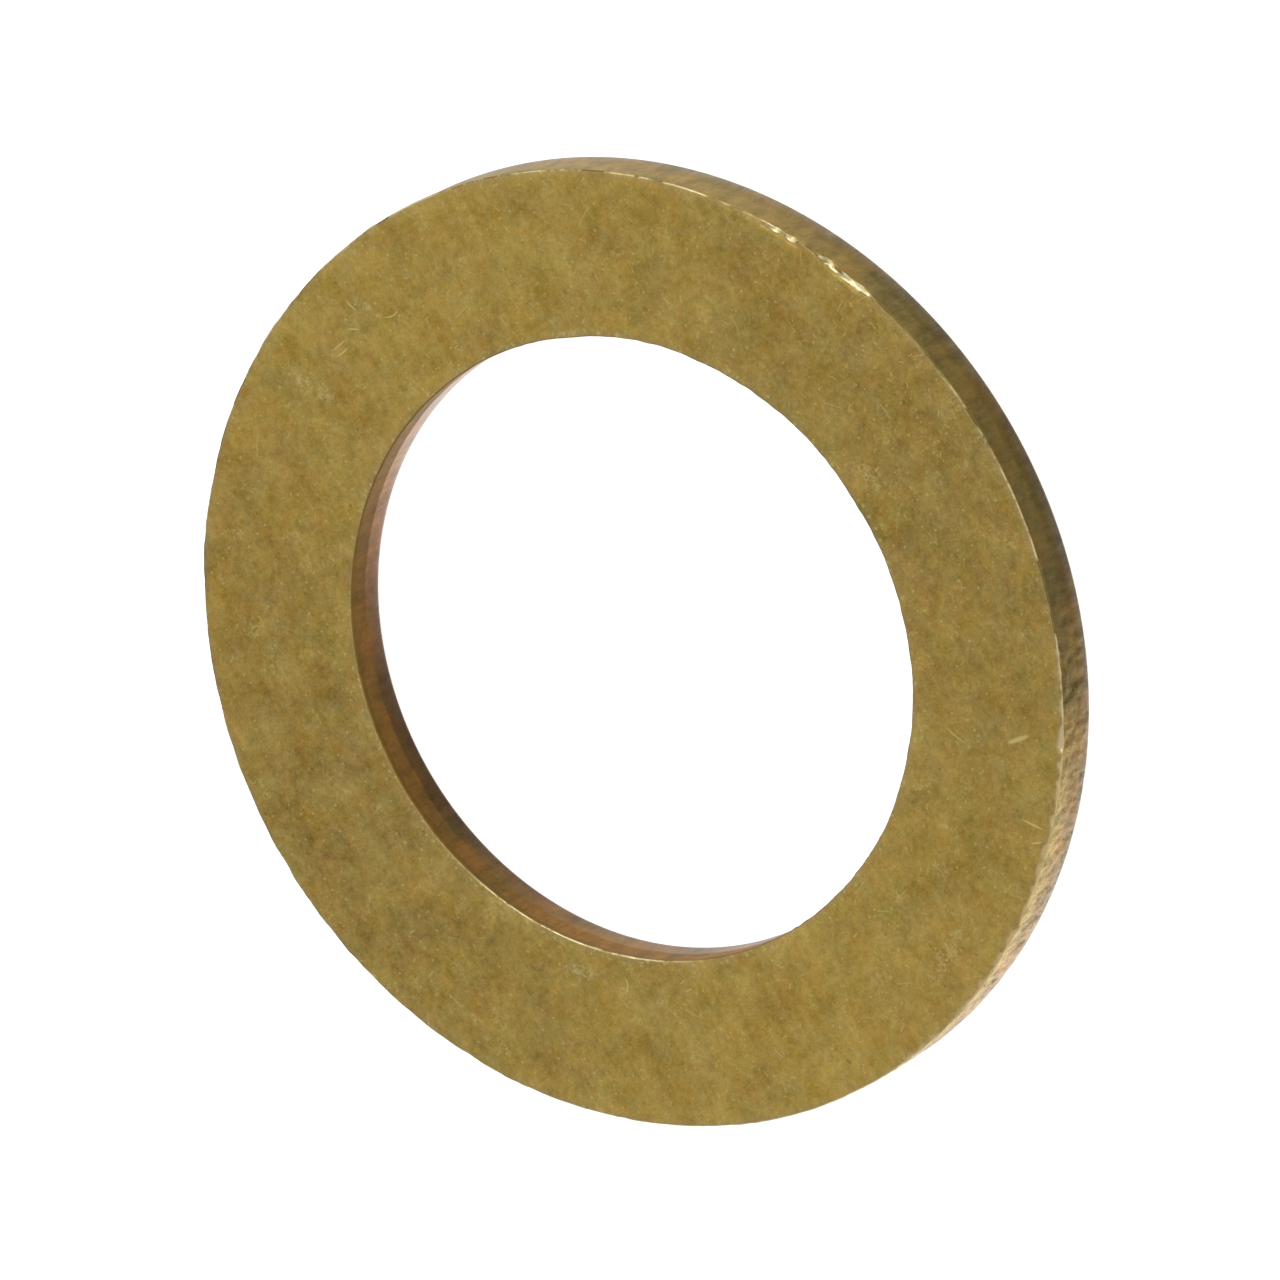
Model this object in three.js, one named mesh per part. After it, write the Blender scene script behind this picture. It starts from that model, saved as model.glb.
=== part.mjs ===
// Flat brass washer, blanked from sheet. Millimetres, +Z up.
// It lies flat: the bore runs along Z, and the origin is the centre of the bore at the underside.
//
// Both walls of the ring were cut by the same press stroke, so they have the same four bands. From the underside
// up they are an edge rounded by the die, a straight land that the die burnished, a torn band that spreads towards
// the burr, and a narrow edge where the burr was tumbled off.

import * as THREE from 'three';

// Driving dimensions
const OUTER_DIAMETER = 26; // over the burr, its widest
const BORE_DIAMETER = 17; // at the land
const THICKNESS = 1.6;

// Bands of the cut walls
const ROLL_REACH = 0.24; // how far the die-rounded edge runs in across the underside
const ROLL_RISE = 0.18; // how far it runs up the wall
const LAND_TOP = 0.5 * THICKNESS; // height of the burnished land's upper end
const BURR_PROUD = 0.04; // how far the torn band stands out from the land at its top
const EDGE_BREAK = 0.05; // the broken edge, across the top and down the wall

// Fineness of the faceted solid
const SEGMENTS_ROUND = 144;
const ROLL_STEPS = 4;

const OUTER_LAND_RADIUS = OUTER_DIAMETER / 2 - BURR_PROUD;
const BORE_LAND_RADIUS = BORE_DIAMETER / 2;
const QUARTER_TURN = Math.PI / 2;

// One cut wall as [depth, height] points from the underside up, with depth counted into the metal from the land.
function cutWall() {
  const points = [];
  for (let step = 0; step <= ROLL_STEPS; step += 1) {
    const turn = (QUARTER_TURN * step) / ROLL_STEPS;
    points.push([ROLL_REACH * (1 - Math.sin(turn)), ROLL_RISE * (1 - Math.cos(turn))]);
  }
  points.push([0, LAND_TOP]);
  points.push([-BURR_PROUD, THICKNESS - EDGE_BREAK]);
  points.push([EDGE_BREAK - BURR_PROUD, THICKNESS]);
  return points;
}

// The ring's section as radius and height, up the outer wall, across the top, down the bore and back to its start.
function ringSection() {
  const wall = cutWall();
  const outer = wall.map(([depth, height]) => new THREE.Vector2(OUTER_LAND_RADIUS - depth, height));
  const bore = wall.map(([depth, height]) => new THREE.Vector2(BORE_LAND_RADIUS + depth, height)).reverse();
  return [...outer, ...bore, outer[0].clone()];
}

function brass() {
  return new THREE.MeshStandardMaterial({ color: 0x94803c, roughness: 0.45, metalness: 1 });
}

function washer() {
  const ring = new THREE.LatheGeometry(ringSection(), SEGMENTS_ROUND);
  ring.rotateX(QUARTER_TURN); // the lathe turns about Y, and the bore runs along Z
  const mesh = new THREE.Mesh(ring, brass());
  mesh.name = 'washer';
  return mesh;
}

const part = new THREE.Group();
part.add(washer());

export default part;
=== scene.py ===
import math

import bpy
from mathutils import Matrix, Vector


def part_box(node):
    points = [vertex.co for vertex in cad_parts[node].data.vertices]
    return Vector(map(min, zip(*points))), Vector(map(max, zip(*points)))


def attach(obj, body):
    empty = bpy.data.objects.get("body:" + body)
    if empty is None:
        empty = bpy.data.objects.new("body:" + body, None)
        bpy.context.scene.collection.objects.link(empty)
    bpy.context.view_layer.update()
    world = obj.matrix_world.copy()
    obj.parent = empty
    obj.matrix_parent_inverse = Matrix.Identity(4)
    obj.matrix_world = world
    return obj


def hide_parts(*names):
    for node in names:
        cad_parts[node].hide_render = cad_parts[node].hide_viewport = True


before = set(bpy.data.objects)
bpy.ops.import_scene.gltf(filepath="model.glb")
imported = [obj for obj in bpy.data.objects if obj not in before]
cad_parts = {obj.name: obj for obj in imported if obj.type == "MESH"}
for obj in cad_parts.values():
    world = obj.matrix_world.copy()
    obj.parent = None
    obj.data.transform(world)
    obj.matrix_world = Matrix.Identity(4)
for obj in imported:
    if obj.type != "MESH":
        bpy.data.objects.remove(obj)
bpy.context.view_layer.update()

# The look of a flat brass washer that lies on its underside, with the bore along Z.
# Lengths are in metres, and MM turns a length in millimetres into one.
MM = 0.001

# The ring, from the frame. The burr makes it widest, and the bore narrowest, at the top face.
ring_low, ring_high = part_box("washer")
BURR_PROUD = 0.04 * MM
UNDERSIDE = ring_low.z
TOP = ring_high.z
THICKNESS = TOP - UNDERSIDE
OUTER_RADIUS = ring_high.x
OUTER_LAND = OUTER_RADIUS - BURR_PROUD
BORE_LAND = min(math.hypot(v.co.x, v.co.y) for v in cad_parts["washer"].data.vertices) + BURR_PROUD

# The middle of the ring's width, half that width at the lands, and half of it across the burrs
MID_RADIUS = (OUTER_LAND + BORE_LAND) / 2
HALF_WIDTH = (OUTER_LAND - BORE_LAND) / 2
HALF_TOP = HALF_WIDTH + BURR_PROUD

# The bands of the cut walls, from the underside up: the edge that the die rounded, the burnished land, the
# torn band and the broken edge
ROLL_SIZE = 0.21 * MM
LAND_TOP = UNDERSIDE + 0.5 * THICKNESS
BREAK_SIZE = 0.05 * MM

# The camera: how far its line of sight leans from the bore's axis, where that axis points on the picture
# (counterclockwise from the right), how much of the picture's half width the ring's radius fills, and where
# the centre of the top face sits in half widths from the picture's centre
VIEW_TILT = math.radians(34.48)
AXIS_ON_PICTURE = math.radians(207.82)
RADIUS_ON_PICTURE = 0.7762
CENTRE_ON_PICTURE = (-0.0152, -0.0150)
LENS = 1000
SENSOR = 36
NEAREST = 0.01
FARTHEST = 10

TABLE_WIDTH = 4


# ---------------------------------------------------------------- shader wires

class Wire:
    """A socket in a node tree. Arithmetic on it adds Math nodes, and node() adds any other."""

    def __init__(self, tree, socket=None):
        self.tree = tree
        self.socket = socket

    def node(self, kind, settings=None, inputs=None, output=0):
        """An output of a new node of this type, given its settings and its sockets' values or wires."""
        made = self.tree.nodes.new(kind)
        for name, value in (settings or {}).items():
            setattr(made, name, value)
        for name, value in (inputs or {}).items():
            if isinstance(value, Wire):
                self.tree.links.new(value.socket, made.inputs[name])
            else:
                made.inputs[name].default_value = value
        return Wire(self.tree, made.outputs[output])

    def output(self, name):
        """Another output of the same node."""
        return Wire(self.tree, self.socket.node.outputs[name])

    def math(self, operation, *values):
        return self.node("ShaderNodeMath", {"operation": operation}, dict(enumerate(values)))

    def __add__(self, other):
        return self.math("ADD", self, other)

    __radd__ = __add__

    def __sub__(self, other):
        return self.math("SUBTRACT", self, other)

    def __rsub__(self, other):
        return self.math("SUBTRACT", other, self)

    def __mul__(self, other):
        return self.math("MULTIPLY", self, other)

    __rmul__ = __mul__

    def __truediv__(self, other):
        return self.math("DIVIDE", self, other)

    def __pow__(self, other):
        return self.math("POWER", self, other)

    def __abs__(self):
        return self.math("ABSOLUTE", self)


def vector_math(operation, first, *others):
    """A Vector Math node on vectors, as a vector."""
    return first.node("ShaderNodeVectorMath", {"operation": operation}, dict(enumerate((first, *others))))


def rise(value, low, high):
    """0 below low, 1 above high and smooth between them. With low over high it falls instead."""
    if low > high:
        return 1 - rise(value, high, low)
    return value.node(
        "ShaderNodeMapRange",
        {"interpolation_type": "SMOOTHSTEP"},
        {"Value": value, "From Min": low, "From Max": high},
    )


def any_of(masks):
    """The greatest of several masks."""
    first, *others = masks
    for mask in others:
        first = first.math("MAXIMUM", first, mask)
    return first


def separate(vector):
    """The three parts of a vector."""
    x = vector.node("ShaderNodeSeparateXYZ", None, {0: vector}, "X")
    return x, x.output("Y"), x.output("Z")


def scaled(vector, factor):
    """A vector times a number."""
    return vector.node("ShaderNodeVectorMath", {"operation": "SCALE"}, {0: vector, "Scale": factor})


def blend(factor, first, second):
    """first where factor is 0 and second where it is 1, as colours."""
    return factor.node("ShaderNodeMix", {"data_type": "RGBA"}, {0: factor, 6: first, 7: second}, 2)


def colour(red, green, blue):
    """A surface colour from its red, green and blue as seen on a screen, 0 to 255."""
    return tuple(((c / 255 + 0.055) / 1.055) ** 2.4 for c in (red, green, blue)) + (1,)


def grey(value):
    """A number as all three parts of a vector."""
    return value.node("ShaderNodeCombineXYZ", None, {"X": value, "Y": value, "Z": value})


def weighted(base, *changes):
    """A colour times 1 plus each change, given as a wire and its strength in red, green and blue."""
    total = base.node("ShaderNodeCombineXYZ", None, {"X": 1.0, "Y": 1.0, "Z": 1.0})
    for amount, strength in changes:
        total = vector_math("MULTIPLY_ADD", grey(amount), strength, total)
    return vector_math("MULTIPLY", base, total)


# ---------------------------------------------------------------- the studio

def make_camera():
    data = bpy.data.cameras.new("camera")
    data.lens = LENS
    data.sensor_width = SENSOR
    data.clip_start = NEAREST
    data.clip_end = FARTHEST
    camera = bpy.data.objects.new("camera", data)
    bpy.context.scene.collection.objects.link(camera)
    bpy.context.scene.camera = camera

    back = Vector((0, -math.sin(VIEW_TILT), math.cos(VIEW_TILT)))
    level = Vector((1, 0, 0))
    upright = back.cross(level)
    roll = math.pi / 2 - AXIS_ON_PICTURE
    right = level * math.cos(roll) + upright * math.sin(roll)
    up = upright * math.cos(roll) - level * math.sin(roll)

    half_width = OUTER_RADIUS / RADIUS_ON_PICTURE
    distance = half_width * LENS / (SENSOR / 2)
    face_centre = Vector((0, 0, TOP))
    aside, above = CENTRE_ON_PICTURE
    aim = face_centre - (right * aside + up * above) * half_width
    turn = Matrix((right, up, back)).transposed()
    camera.matrix_world = Matrix.Translation(aim + back * distance) @ turn.to_4x4()


def make_floor():
    """A plain white table that the ring lies on. It lights nothing, so the card and the room alone do."""
    bpy.ops.mesh.primitive_plane_add(size=TABLE_WIDTH, location=(0, 0, UNDERSIDE))
    floor = bpy.context.object
    floor.name = "floor"
    floor.visible_diffuse = False
    floor.visible_glossy = False
    material = bpy.data.materials.new("floor_white")
    material.use_nodes = True
    paint = material.node_tree.nodes["Principled BSDF"]
    paint.inputs["Base Color"].default_value = (0.8, 0.8, 0.8, 1)
    paint.inputs["Roughness"].default_value = 0.8
    paint.inputs["Emission Color"].default_value = (1, 1, 1, 1)
    paint.inputs["Emission Strength"].default_value = 0.8
    floor.data.materials.append(material)


# The even light of the room, how it changes upwards, and how bright the room itself is to the camera
ROOM_GLOW = 0.615
ROOM_SLOPE = (0, 0, -0.078)
ROOM_SEEN = 1.05

# The soft shapes in the otherwise even room: the way to each, how tightly it gathers, and its strength. The
# dark one is below the ring on the side of the viewer, where the walls there reflect it.
ROOM_SHAPES = (
    ((0, -0.566, -0.824), 3.5, -0.53),
    ((-0.40, 0.40, -0.82), 12, 0.6),
    ((0.92, -0.15, 0.35), 4, 0.4),
    ((-0.35, -0.80, 0.50), 4, 0.2),
)


def towards(way, aim):
    """How squarely a direction points at aim, as a dot product."""
    return way.node("ShaderNodeVectorMath", {"operation": "DOT_PRODUCT"}, {0: way, 1: aim}, "Value")


def make_room():
    """A soft, nearly even room."""
    world = bpy.data.worlds.new("room")
    bpy.context.scene.world = world
    world.use_nodes = True
    tree = world.node_tree
    tree.nodes.clear()
    start = Wire(tree)
    way = start.node("ShaderNodeTexCoord", output="Generated")
    glow = ROOM_GLOW + towards(way, ROOM_SLOPE)
    for aim, tightness, strength in ROOM_SHAPES:
        shape = towards(way, aim)
        glow = glow + shape.math("MAXIMUM", shape, 0) ** tightness * strength
    seen = start.node("ShaderNodeLightPath", output="Is Camera Ray")
    strength = glow * (1 - seen) + seen * ROOM_SEEN
    light = start.node("ShaderNodeBackground", None, {"Color": (1, 1, 1, 1), "Strength": strength})
    out = tree.nodes.new("ShaderNodeOutputWorld")
    tree.links.new(light.socket, out.inputs["Surface"])


def make_card(name, aim, distance, size, radiance):
    """A square soft light, facing the ring from the direction aim."""
    way = Vector(aim).normalized()
    data = bpy.data.lights.new(name, "AREA")
    data.shape = "SQUARE"
    data.size = size
    data.energy = radiance * math.pi * size * size
    card = bpy.data.objects.new(name, data)
    bpy.context.scene.collection.objects.link(card)
    card.location = way * distance
    card.rotation_mode = "QUATERNION"
    card.rotation_quaternion = way.to_track_quat("Z", "Y")


def make_studio():
    bpy.context.scene.view_settings.view_transform = "Standard"
    make_camera()
    make_floor()
    make_room()
    make_card("key_card", aim=(0.415, -0.123, 0.901), distance=0.5, size=0.25, radiance=2.0)


# ---------------------------------------------------------------- the ring's section

TINY = 1e-6
ROLL_STEPS = 6
BREAK_STEPS = 3
SPIN_STEPS = 1080

# The closely divided strip of the top face beside each edge
STRIP = 0.3 * MM

# How many points are set along each part of the section
LAND_POINTS = 4
TORN_POINTS = 9
STRIP_POINTS = 3
FACE_POINTS = 22
UNDERSIDE_POINTS = 3


def pick(piece, rule, kind="VERT"):
    """Selects only the vertices that keep the rule, or the edges between them, in edit mode."""
    bpy.ops.object.mode_set(mode="EDIT")
    bpy.ops.mesh.select_mode(type=kind)
    bpy.ops.mesh.select_all(action="DESELECT")
    bpy.ops.object.mode_set(mode="OBJECT")
    kept = [rule(v.co) for v in piece.data.vertices]
    if kind == "VERT":
        for vertex in piece.data.vertices:
            vertex.select = kept[vertex.index]
    else:
        for edge in piece.data.edges:
            edge.select = all(kept[v] for v in edge.vertices)
    bpy.ops.object.mode_set(mode="EDIT")


def slide(piece, rule, way):
    """Moves the vertices that keep the rule."""
    pick(piece, rule)
    bpy.ops.transform.translate(value=way)
    bpy.ops.object.mode_set(mode="OBJECT")


def divide(piece, rule, cuts):
    """Cuts the edges between vertices that keep the rule into even lengths."""
    pick(piece, rule, "EDGE")
    bpy.ops.mesh.subdivide(number_cuts=cuts)
    bpy.ops.object.mode_set(mode="OBJECT")


def make_sheet_edge():
    """The ring's section before its edges are worked: an upright rectangle from the bore to the rim."""
    bpy.ops.object.select_all(action="DESELECT")
    bpy.ops.mesh.primitive_plane_add(
        size=THICKNESS,
        location=(MID_RADIUS, 0, (UNDERSIDE + TOP) / 2),
        rotation=(math.pi / 2, 0, 0),
    )
    ring = bpy.context.object
    ring.name = "washer_ring"
    ring.scale.x = 2 * HALF_WIDTH / THICKNESS
    bpy.ops.object.transform_apply(location=True, rotation=True, scale=True)
    return ring


def work_walls(ring):
    """Rounds the lower corners, marks the top of each land and spreads the burr."""
    pick(ring, lambda p: p.z < UNDERSIDE + TINY)
    bpy.ops.mesh.bevel(offset=ROLL_SIZE, segments=ROLL_STEPS, affect="VERTICES")
    halfway = (UNDERSIDE + ROLL_SIZE + TOP) / 2
    to_land_top = (0, 0, LAND_TOP - halfway)
    for land, burr in ((OUTER_LAND, BURR_PROUD), (BORE_LAND, -BURR_PROUD)):
        divide(ring, lambda p: abs(p.x - land) < TINY, 1)
        slide(ring, lambda p: abs(p.x - land) < TINY and abs(p.z - halfway) < TINY, to_land_top)
        slide(ring, lambda p: abs(p.x - land) < TINY and p.z > TOP - TINY, (burr, 0, 0))


def work_top(ring):
    """Marks a strip of the top face by each edge, breaks the upper corners and leaves only the outline."""
    divide(ring, lambda p: p.z > TOP - TINY, 2)
    third = HALF_TOP / 3
    for side in (1, -1):
        slide(
            ring,
            lambda p: p.z > TOP - TINY and abs(p.x - MID_RADIUS - side * third) < TINY,
            (side * (2 * third - STRIP), 0, 0),
        )
    pick(ring, lambda p: p.z > TOP - TINY and abs(p.x - MID_RADIUS) > HALF_TOP - TINY)
    bpy.ops.mesh.bevel(offset=BREAK_SIZE, segments=BREAK_STEPS, affect="VERTICES")
    bpy.ops.mesh.select_all(action="SELECT")
    bpy.ops.mesh.delete(type="ONLY_FACE")
    bpy.ops.object.mode_set(mode="OBJECT")


def divide_section(ring):
    """Sets points close enough to carry the marks of the press and of wear, above all by the edges."""
    rolled = UNDERSIDE + 0.9 * ROLL_SIZE
    broken = TOP - 0.9 * BREAK_SIZE
    inner = HALF_TOP - STRIP
    for side in (1, -1):
        def off_middle(point):
            return side * (point.x - MID_RADIUS)

        divide(ring, lambda p: off_middle(p) > 0 and rolled < p.z < LAND_TOP + TINY, LAND_POINTS)
        divide(ring, lambda p: off_middle(p) > 0 and LAND_TOP - TINY < p.z < broken, TORN_POINTS)
        divide(ring, lambda p: off_middle(p) > inner - TINY and p.z > TOP - TINY, STRIP_POINTS)
    divide(ring, lambda p: abs(p.x - MID_RADIUS) < inner + TINY and p.z > TOP - TINY, FACE_POINTS)
    divide(ring, lambda p: p.z < UNDERSIDE + TINY, UNDERSIDE_POINTS)


def turn_section(ring):
    """Turns the section into the whole ring, round the bore's axis."""
    turn = ring.modifiers.new("turn", "SCREW")
    turn.angle = 2 * math.pi
    turn.steps = SPIN_STEPS
    turn.render_steps = SPIN_STEPS
    turn.use_merge_vertices = True
    turn.merge_threshold = TINY
    bpy.ops.object.modifier_apply(modifier=turn.name)
    bpy.ops.object.mode_set(mode="EDIT")
    bpy.ops.mesh.select_all(action="SELECT")
    bpy.ops.mesh.remove_doubles(threshold=TINY)
    bpy.ops.mesh.normals_make_consistent(inside=False)
    bpy.ops.object.mode_set(mode="OBJECT")


# ---------------------------------------------------------------- the ring's wear

# Points less than this below the surface of a land are on a wall.
WALL_DEPTH = 0.08 * MM

# How far the worn edge runs across the top face: all round, where it was knocked and where it was rubbed
WORN_WIDTH = 0.2 * MM
KNOCKED_WIDTH = 0.22 * MM
RUBBED_WIDTH = 0.17 * MM

# Stretches of the ring, as the turns where a mark starts, is full, begins to fade and is gone. They are in
# degrees from the viewer's side, to the right for the battered one and to the left for the other two.
BATTERED = (22, 26, 36, 40)
RUBBED = (22, 34, 78, 88)
RAGGED = (8, 30, 75, 105)


# Each rule below gives how strongly a mark takes at a point, 0 to 1.

def ramp(value, low, high):
    """0 at low, 1 at high and straight between them, either way round."""
    return min(max((value - low) / (high - low), 0), 1)


def reach(point):
    """How far a point is from the bore's axis."""
    return math.hypot(point.x, point.y)


def on_wall(point):
    return abs(reach(point) - MID_RADIUS) > HALF_WIDTH - WALL_DEPTH


def flats(point):
    """The faces, away from the edges."""
    return 0 if on_wall(point) else 1


def torn_band(point):
    above_land = ramp(point.z, LAND_TOP - 0.03 * MM, LAND_TOP + 0.12 * MM)
    return on_wall(point) * above_land * ramp(point.z, TOP, TOP - 0.12 * MM)


def burnished_band(point):
    above_roll = ramp(point.z, UNDERSIDE + 0.1 * MM, UNDERSIDE + 0.3 * MM)
    return on_wall(point) * above_roll * ramp(point.z, LAND_TOP + 0.03 * MM, LAND_TOP)


def broken_edge(point):
    beside = ramp(abs(reach(point) - MID_RADIUS), HALF_WIDTH - WORN_WIDTH, HALF_WIDTH)
    return beside * ramp(point.z, TOP - 0.15 * MM, TOP - 0.03 * MM)


def by_rim(point, width):
    """The rim's upper edge, this far across the top face and a little way down the wall."""
    across = ramp(reach(point), OUTER_RADIUS - width, OUTER_RADIUS - 0.05 * MM)
    return across * ramp(point.z, TOP - 0.3 * MM, TOP - 0.06 * MM)


def turn_right(point):
    """How far round the ring a point is from the viewer's side, in degrees to the right."""
    return math.degrees(math.atan2(point.x, -point.y))


def within(turn, stretch):
    """1 in the middle of a stretch, 0 off it and straight between."""
    start, full, fading, gone = stretch
    return ramp(turn, start, full) * ramp(turn, gone, fading)


def battered_edge(point):
    """The stretch of the rim's upper edge, to the right of the viewer, that took knocks."""
    return within(turn_right(point), BATTERED) * by_rim(point, KNOCKED_WIDTH)


def rubbed_edge(point):
    """The stretch of it to the left, rubbed to a wider and uneven break."""
    return within(-turn_right(point), RUBBED) * by_rim(point, RUBBED_WIDTH)


def ragged_side(point):
    """The walls to the left of the viewer, which tore more roughly."""
    side = within(-turn_right(point), RAGGED)
    above_roll = ramp(point.z, UNDERSIDE + 0.1 * MM, UNDERSIDE + 0.4 * MM)
    return on_wall(point) * side * above_roll * ramp(point.z, TOP - 0.02 * MM, TOP - 0.12 * MM)


def roughen(ring, name, rule, grain, lift, contrast=1, share=1, middle=0.5, depth=2, turn=0, way="NORMAL"):
    """Moves the skin by a cloudy pattern, as strongly as the rule says.

    grain is the size of the lumps along X, Y and Z, turned about Z by turn degrees, and lift is how far the
    pattern's whole range moves the skin, both in millimetres. contrast hardens the lumps and a share under
    1 thins them out. middle is the value of the pattern that moves nothing, depth adds finer lumps to the
    large ones, and way is the direction of the move.
    """
    group = ring.vertex_groups.new(name=name)
    for vertex in ring.data.vertices:
        weight = rule(vertex.co)
        if weight > 0:
            group.add([vertex.index], weight, "REPLACE")
    pattern = bpy.data.textures.new(name, "CLOUDS")
    pattern.noise_scale = 1
    pattern.noise_depth = depth
    pattern.contrast = contrast
    pattern.intensity = share
    pattern.use_clamp = True
    ruler = bpy.data.objects.new(name + "_ruler", None)
    ruler.scale = [size * MM for size in grain]
    ruler.rotation_euler.z = math.radians(turn)
    bpy.context.scene.collection.objects.link(ruler)
    move = ring.modifiers.new(name, "DISPLACE")
    move.texture = pattern
    move.texture_coords = "OBJECT"
    move.texture_coords_object = ruler
    move.vertex_group = name
    move.strength = lift * MM
    move.direction = way
    move.mid_level = middle
    bpy.context.view_layer.update()
    bpy.ops.object.modifier_apply(modifier=name)
    bpy.data.objects.remove(ruler)


def wear_ring(ring):
    """The marks of the press and of use: tear streaks, scoring, nicked edges and faces not quite flat."""
    roughen(ring, "tear_streaks", torn_band, (0.3, 0.3, 1.2), 0.02)
    roughen(ring, "tear_ripples", ragged_side, (0.24, 0.24, 0.4), 0.11)
    roughen(ring, "land_scores", burnished_band, (0.2, 0.2, 3), 0.006)
    roughen(ring, "edge_wear", broken_edge, (1.1, 1.1, 1.1), 0.05, contrast=1.5, middle=0.65)
    roughen(ring, "edge_nicks", broken_edge, (0.3, 0.3, 0.3), 0.016, contrast=1.5)
    knocked = {"contrast": 2.5, "share": 0.72, "middle": 0, "way": "Z"}
    roughen(ring, "knocks", battered_edge, (0.55, 0.25, 0.25), -0.19, turn=31, **knocked)
    rubbed = {"contrast": 2, "share": 0.85, "middle": 0, "way": "Z"}
    roughen(ring, "rubbing", rubbed_edge, (0.4, 0.4, 0.4), -0.08, **rubbed)
    roughen(ring, "uneven_faces", flats, (1.6, 1.6, 1.6), 0.006, depth=1)


def make_ring():
    ring = make_sheet_edge()
    work_walls(ring)
    work_top(ring)
    divide_section(ring)
    turn_section(ring)
    wear_ring(ring)
    bpy.ops.object.shade_smooth_by_angle(angle=math.radians(40))
    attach(ring, "root")
    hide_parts("washer")
    return ring


# ---------------------------------------------------------------- patterns on the brass

# The patterns are laid out in millimetres, so here are the measures that they need.
TOP_MM = THICKNESS / MM
LAND_MM = LAND_TOP / MM
BORE_MM = BORE_LAND / MM
MID_MM = MID_RADIUS / MM

# Fine scratches: the shortest as a share of the longest, and how much they bow
SHORTEST = 0.2
BOW = 0.8

# Fine marks, as spacing, length, width, the share of the places that have one, and the pattern's shift
SHORT_HAIRS = (0.5, 0.26, 0.026, 0.3, (0.0, 0.0, 0.0))
LONG_HAIRS = (1.3, 0.8, 0.026, 0.22, (3.7, 1.9, 0.0))
TICKS = (0.36, 0.1, 0.045, 0.35, (8.1, 5.3, 0.0))
BEADS = (0.24, 0.15, 0.09, 0.55, (1.3, 4.6, 0.0))
SMALL_PITS = (0.8, 0.1, 0.05, 0.3, (2.2, 7.4, 0.0))

# Marks on the top face, as place, turn in degrees, length, width and bow in millimetres
SCRATCHES = (
    (11.38, 2.76, 20, 0.5, 0.06, 0.02),
    (10.82, 3.04, 65, 0.45, 0.06, 0.0),
    (10.64, 1.75, 88, 0.65, 0.05, 0.12),
    (10.62, 3.68, 100, 0.7, 0.05, 0.0),
    (10.40, 3.70, 97, 0.6, 0.05, 0.03),
    (-7.78, 5.07, 150, 0.6, 0.05, 0.15),
    (-6.78, -9.51, 83, 0.85, 0.16, 0.0),
    (-5.92, -7.80, 25, 0.9, 0.04, 0.05),
    (-8.92, -8.66, 41, 0.8, 0.08, 0.0),
    (-9.39, -8.50, 73, 0.45, 0.07, 0.0),
)
PITS = (
    (2.37, -11.27, 0, 0.16, 0.13, 0.0),
    (-12.2, -0.03, 30, 0.22, 0.12, 0.0),
)
SCUFFS = (
    (11.27, 2.39, 40, 0.7, 0.35, 0.0),
    (10.13, 5.21, 10, 0.8, 0.5, 0.0),
    (9.66, 4.9, 70, 0.9, 0.5, 0.0),
    (1.10, -9.23, 30, 1.4, 0.9, 0.0),
    (-10.88, -4.44, 120, 2.2, 0.8, 0.0),
    (-6.9, 6.2, 60, 1.5, 0.6, 0.0),
)

# The stretch of the rim's upper edge that isn't worn bright, and the stretch of the bore's that is
DULL_EDGE = (5.6, -11.4, 26, 10, 3.0, 0.0)
BRIGHT_EDGE = (-6.1, 5.7, 47, 9, 2.6, 0.0)


def clouds(place, size, detail, roughness):
    """Soft cloudy noise about 0.5, with its largest lumps this many millimetres across."""
    return place.node(
        "ShaderNodeTexNoise",
        None,
        {"Vector": place, "Scale": 1 / size, "Detail": detail, "Roughness": roughness},
    )


def hairs(place, spacing, length, width, share, shift):
    """1 on sparse fine scratches that lie every way and bow a little, and 0 off them.

    spacing, length and width are in millimetres, share is how many of the places have one, and shift moves
    the pattern.
    """
    laid = vector_math("MULTIPLY_ADD", place, (1 / spacing,) * 3, shift)
    cells = {"voronoi_dimensions": "2D"}
    centre = laid.node("ShaderNodeTexVoronoi", cells, {"Vector": laid, "Scale": 1}, "Position")
    lot, second, third = separate(centre.output("Color"))
    east, north = separate(vector_math("SUBTRACT", laid, centre))[:2]
    turn = lot * math.tau
    cosine = turn.math("COSINE", turn)
    sine = turn.math("SINE", turn)
    along = east * cosine + north * sine
    across = north * cosine - east * sine + along * along * (second - 0.5) * BOW
    reached = abs(along) / (SHORTEST + second * (1 - SHORTEST))
    line = rise(abs(across), width / spacing, 0.2 * width / spacing)
    ends = rise(reached, 0.5 * length / spacing, 0.3 * length / spacing)
    return line * ends * third.math("LESS_THAN", third, share)


def stroke(place, mark):
    """1 inside one long thin mark, given by its place, turn in degrees, length, width and bow."""
    x, y, turn, length, width, bow = mark
    frame_of_mark = {
        "Location": (x, y, 0),
        "Rotation": (0, 0, math.radians(turn)),
        "Scale": (length / 2, width / 2, 1),
    }
    laid = place.node("ShaderNodeMapping", {"vector_type": "TEXTURE"}, {"Vector": place, **frame_of_mark})
    along, across = separate(laid)[:2]
    bent = across + along * along * (2 * bow / width)
    return rise(along * along + bent * bent, 1, 0.2)


# Ranges over which a mask grows from 0 to 1, or falls where the greater number is first. The level of the
# skin is 0 on an upright wall and 1 on a face, and stretches and heights are in millimetres.
FACE_LEVEL = (0.85, 0.97)
OFF_FACE_LEVEL = (0.985, 0.93)
CORNER_LEVEL = (0.25, 0.6)
STRUCK_LEVEL = (0.45, 0.65)
TAN_STRETCH = (5.5, 10)
SPECKED_STRETCH = (3, 7)
GREYED_HEIGHT = (0.62, 0.2)
LAND_HEIGHT = (LAND_MM + 0.07, LAND_MM - 0.07)


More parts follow.
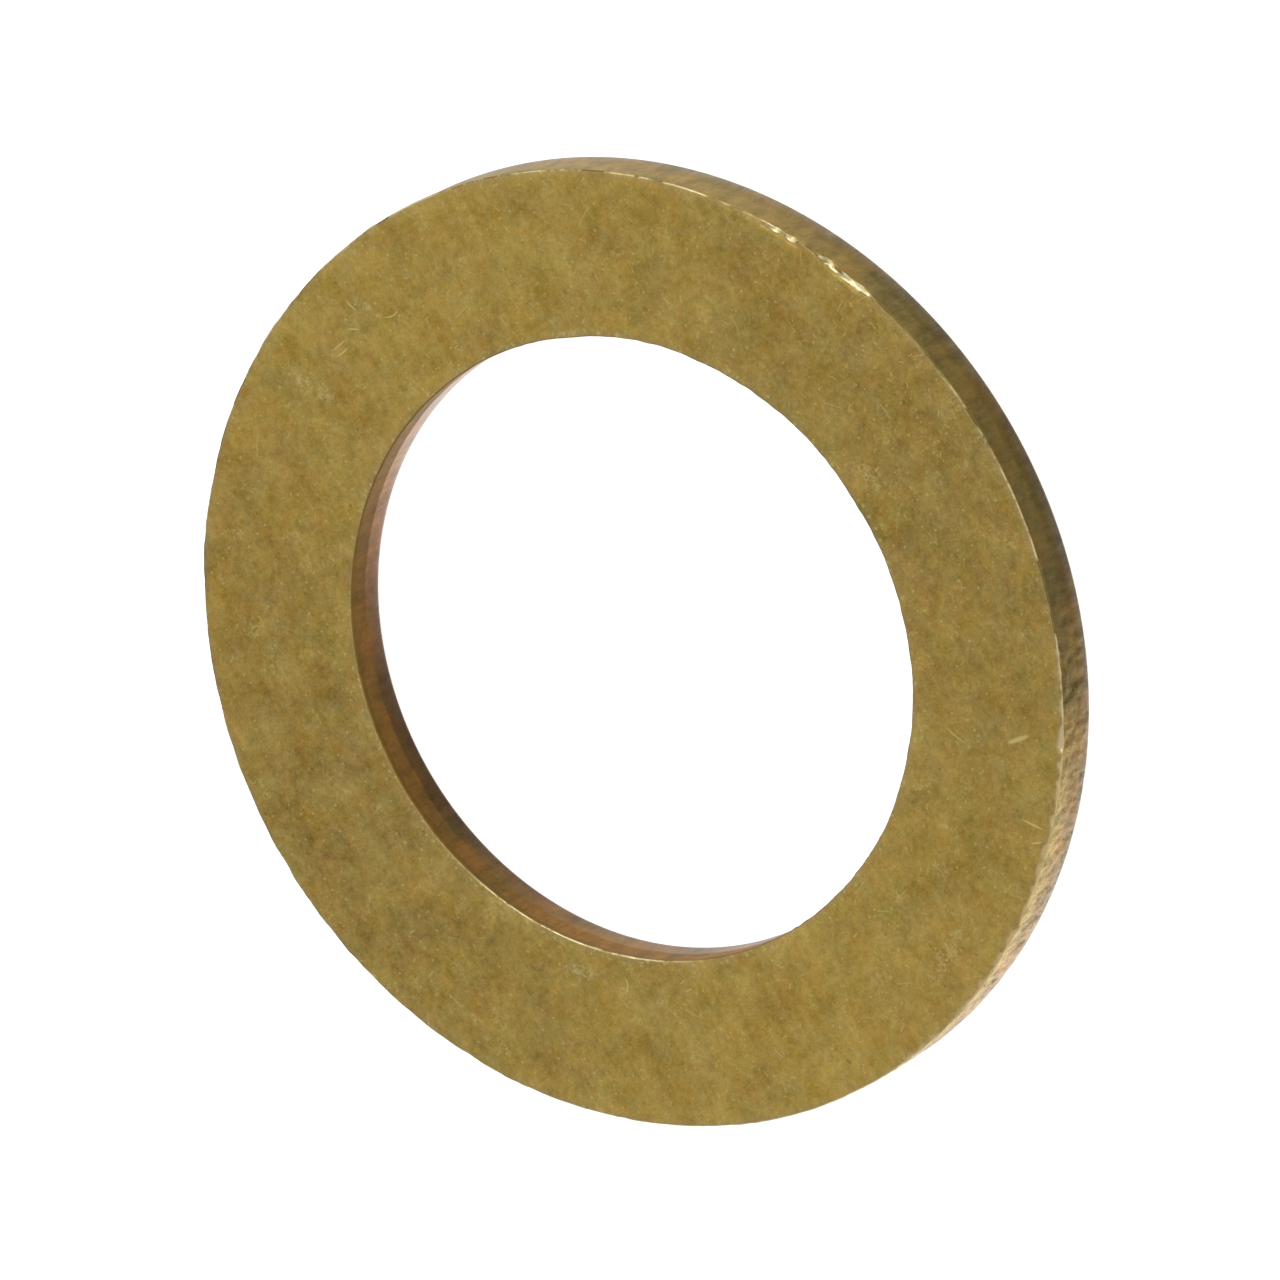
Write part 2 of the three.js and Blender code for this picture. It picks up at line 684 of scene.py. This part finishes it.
class Spot:
    """A point of the ring's skin, as wires in millimetres, and the masks and patterns that parts share."""

    def __init__(self, tree):
        start = Wire(tree)
        self.place = scaled(start.node("ShaderNodeTexCoord", output="Object"), 1 / MM)
        self.x, self.y, self.z = separate(self.place)
        self.leftwards = 0 - self.x
        self.radius = (self.x * self.x + self.y * self.y) ** 0.5
        self.off_middle = abs(self.radius - MID_MM)
        self.outside = rise(self.radius, MID_MM - 1, MID_MM + 1)

        # how level the skin is: 1 on the faces and 0 on the walls
        self.level = abs(separate(start.node("ShaderNodeTexCoord", output="Normal"))[2])
        self.flat = rise(self.level, *FACE_LEVEL)

        # the tan and specked stretch of the rim, the streaks that the tool drew, and the burnished land
        specks = clouds(self.place, size=0.24, detail=4, roughness=0.8) - 0.5
        drawn_out = vector_math("MULTIPLY", self.place, (1, 1, 0.3))
        self.tan = rise(self.leftwards, *TAN_STRETCH) * self.outside
        self.specks = specks * rise(self.leftwards, *SPECKED_STRETCH) * self.outside
        self.streaks = clouds(drawn_out, size=0.35, detail=5, roughness=0.8) - 0.5
        self.blotches = clouds(scaled(self.place, 0.9), size=1.5, detail=5, roughness=0.8) - 0.5
        self.wavy_height = self.z + self.blotches * 0.35
        self.burnished = rise(self.wavy_height, *LAND_HEIGHT) * (1 - 0.8 * self.outside)

        # fine crooked lines, all over
        ridge = clouds(self.place, size=0.3, detail=2, roughness=0.6) - 0.5
        self.wiggles = rise(abs(ridge), 0.035, 0.005)


# ---------------------------------------------------------------- the brass

FACE_TARNISH = colour(187, 158, 83)
FACE_BY_EDGE = colour(176, 162, 134)
FRESH_SCRATCH = colour(244, 226, 150)
FRESH_SCUFF = colour(226, 212, 160)
DARK_PIT = colour(96, 80, 44)

TORN_LEFT = colour(184, 138, 68)
# The torn band to the right in the bore is darker brown, which is painted shade.
TORN_RIGHT_PAINTED_SHADE = colour(158, 114, 50)
BURNISHED_LEFT = colour(184, 142, 85)
BURNISHED_RIGHT = colour(178, 130, 84)
ASHEN_LEFT = colour(170, 140, 118)
ASHEN_RIGHT = colour(182, 148, 130)
BORE_LIP = colour(150, 124, 60)

RIM_TORN = colour(200, 169, 92)
# Painted shade on a stretch of the rim wall to the left of the viewer
RIM_PAINTED_SHADE = colour(174, 144, 78)
RIM_TAN_BELOW = colour(214, 176, 120)
RIM_TAN_ABOVE = colour(228, 200, 130)
RIM_ASHEN = colour(206, 184, 156)

DULL_CORNER = colour(112, 97, 54)
BRIGHT_CORNER = colour(240, 224, 176)
BRIGHT_TAN_CORNER = colour(230, 202, 148)

FACE_ROUGHNESS = 0.42
WALL_ROUGHNESS = 0.52
BRIGHT_ROUGHNESS = 0.28

# How far down a wall its upper edge has a colour of its own, in millimetres
LIP_DEPTH = 0.26


def tarnish_and_painted_sheen(spot):
    """Olive and brown patches and grain in the thin tarnish, with a painted sheen that is lighter on two
    opposite sides and towards both edges, and a paler colour right beside the edges.
    """
    lightness = clouds(spot.place, size=1.6, detail=7, roughness=1.0) - 0.5
    hue = clouds(scaled(spot.place, -1.1), size=1.2, detail=7, roughness=0.95) - 0.5
    depth = clouds(scaled(spot.place, 1.3), size=1.4, detail=7, roughness=0.9) - 0.5
    # Painted sheen: the face is lighter on the two opposite sides along X, as if lit there.
    painted_sheen_lobes = (spot.x * spot.x - spot.y * spot.y) / (spot.radius * spot.radius)
    plain = spot.x.node("ShaderNodeRGB")
    plain.socket.default_value = FACE_TARNISH
    face = weighted(
        plain,
        (lightness, (2.3, 2.8, 4.0)),
        (hue, (0.85, 0.0, -0.8)),
        (depth, (0.0, 0.0, 1.5)),
        (painted_sheen_lobes, (0.09, 0.09, 0.05)),
        # Painted sheen: lighter towards both edges of the face.
        (rise(spot.off_middle, 1.2, 2.4), (0.07, 0.08, 0.12)),
    )
    return blend(rise(spot.off_middle, 2.0, 2.3) * 0.3, face, FACE_BY_EDGE)


def scratched(spot):
    """1 on the scratches of the faces, which are denser where the ring is worn and beaded by the bore."""
    place = spot.place
    worn = rise(clouds(scaled(place, 0.7), size=3.2, detail=2, roughness=0.5), 0.42, 0.62)
    squiggly = rise(clouds(scaled(place, 1.7), size=1.4, detail=2, roughness=0.7), 0.55, 0.66)
    beads = hairs(place, *BEADS) * rise(spot.radius, BORE_MM + 0.26, BORE_MM + 0.12)
    return any_of((
        hairs(place, *SHORT_HAIRS) * (0.2 + 0.5 * worn),
        hairs(place, *LONG_HAIRS) * (0.15 + 0.4 * worn),
        hairs(place, *TICKS) * 0.6,
        spot.wiggles * squiggly * 0.45,
        beads * 0.55,
        *(stroke(place, mark) for mark in SCRATCHES),
    ))


def scuffed(spot):
    """1 on the crooked lines and crumbs inside the scuffs."""
    crumbs = rise(clouds(spot.place, size=0.2, detail=3, roughness=0.7), 0.5, 0.64)
    return any_of([stroke(spot.place, mark) for mark in SCUFFS]) * any_of((spot.wiggles, crumbs))


def pitted(spot):
    """1 in the pits, large and small."""
    small = hairs(spot.place, *SMALL_PITS) * 0.7
    return any_of([small, *(stroke(spot.place, mark) for mark in PITS)])


def face_colour(spot, scratches):
    face = tarnish_and_painted_sheen(spot)
    face = blend(scratches * 0.7, face, FRESH_SCRATCH)
    face = blend(scuffed(spot) * 0.4, face, FRESH_SCUFF)
    return blend(pitted(spot) * 0.45, face, DARK_PIT)


def wall_colour(spot):
    """The cut walls: brown where torn, pinkish where burnished, and grey towards the underside, with
    painted shade on the torn band to the right in the bore and on a stretch of the rim to the left.
    """
    right = rise(spot.x, -1, 5)
    # Painted shade: darkens the rim wall on a stretch to the left of the viewer.
    rim_painted_shade = spot.outside * rise(spot.leftwards, 1, 4) * rise(spot.leftwards, 8.5, 6.5)
    greyed = rise(spot.wavy_height, *GREYED_HEIGHT)
    ashen = blend(right, ASHEN_LEFT, ASHEN_RIGHT)
    lip = rise(spot.z, TOP_MM - LIP_DEPTH, TOP_MM - 0.14) * (1 - spot.outside)

    # Darker to the right in the bore: painted shade.
    wall = blend(rise(spot.x, 1, 6), TORN_LEFT, TORN_RIGHT_PAINTED_SHADE)
    wall = blend(spot.outside, wall, RIM_TORN)
    wall = blend(rim_painted_shade, wall, RIM_PAINTED_SHADE)
    wall = blend(spot.tan, wall, blend(rise(spot.z, 0.8, 1.4), RIM_TAN_BELOW, RIM_TAN_ABOVE))
    wall = blend(spot.burnished, wall, blend(right, BURNISHED_LEFT, BURNISHED_RIGHT))
    wall = blend(greyed * 0.7, wall, blend(spot.outside, ashen, RIM_ASHEN))
    wall = weighted(
        wall,
        (spot.streaks, (1.4, 1.5, 1.8)),
        (spot.blotches, (1.6, 0.9, 0.4)),
        (spot.specks, (2.0, 2.3, 2.8)),
    )
    return blend(lip * 0.5, wall, BORE_LIP)


def edge_masks(spot):
    """The broken upper edges, as a mask for where they are dull and one for where they are worn bright."""
    beside = rise(spot.off_middle, 2.0, 2.1) * rise(spot.z, TOP_MM - LIP_DEPTH, TOP_MM - 0.16)
    lowered = rise(spot.z, TOP_MM - 0.015, TOP_MM - 0.04)
    corner = beside * rise(spot.level, *CORNER_LEVEL) * any_of((rise(spot.level, *OFF_FACE_LEVEL), lowered))

    struck = rise(spot.z, TOP_MM - 0.02, TOP_MM - 0.045) * rise(spot.level, *STRUCK_LEVEL)
    patches = rise(clouds(spot.place, size=0.9, detail=3, roughness=0.7), 0.38, 0.54)
    spared = rise(clouds(spot.place, size=1.6, detail=4, roughness=0.7), 0.44, 0.58)
    spared = spared * (1 - stroke(spot.place, DULL_EDGE))
    rim_kept = any_of((spared, rise(spot.leftwards, 6, 8.5) * patches, struck)) * spot.outside
    bore_kept = stroke(spot.place, BRIGHT_EDGE) * patches * (1 - spot.outside)
    bright = corner * (rim_kept + bore_kept)
    dull = (corner - bright) * (0.1 + 0.8 * spot.outside) * (1 - 0.85 * rise(spot.leftwards, 4, 7))
    return dull, bright


def brass_roughness(spot, scratches, bright):
    wall = WALL_ROUGHNESS - 0.14 * spot.outside - 0.3 * spot.burnished
    face = FACE_ROUGHNESS - 0.1 * scratches
    rough = wall + (face - wall) * spot.flat
    return rough + (BRIGHT_ROUGHNESS - rough) * bright


def brass_relief(spot):
    """The streaks and specks of the walls and the grain of the faces, in millimetres."""
    grain = clouds(spot.place, size=0.16, detail=4, roughness=0.8) * 0.003
    torn = spot.streaks * 0.02 * (1 - 0.85 * spot.burnished) + spot.specks * 0.03
    return torn * (1 - spot.flat) + grain * spot.flat


def brass_material():
    material = bpy.data.materials.new("brass")
    material.use_nodes = True
    tree = material.node_tree
    shader = tree.nodes["Principled BSDF"]
    shader.inputs["Metallic"].default_value = 1
    spot = Spot(tree)
    scratches = scratched(spot)
    dull, bright = edge_masks(spot)
    skin = blend(spot.flat, wall_colour(spot), face_colour(spot, scratches))
    skin = blend(dull, skin, DULL_CORNER)
    skin = blend(bright * 0.9, skin, blend(spot.tan, BRIGHT_CORNER, BRIGHT_TAN_CORNER))
    rough = brass_roughness(spot, scratches, bright)
    relief = brass_relief(spot)
    bump = relief.node("ShaderNodeBump", None, {"Strength": 1.0, "Distance": MM, "Height": relief})
    tree.links.new(skin.socket, shader.inputs["Base Color"])
    tree.links.new(rough.socket, shader.inputs["Roughness"])
    tree.links.new(bump.socket, shader.inputs["Normal"])
    return material


make_studio()
ring = make_ring()
ring.data.materials.append(brass_material())
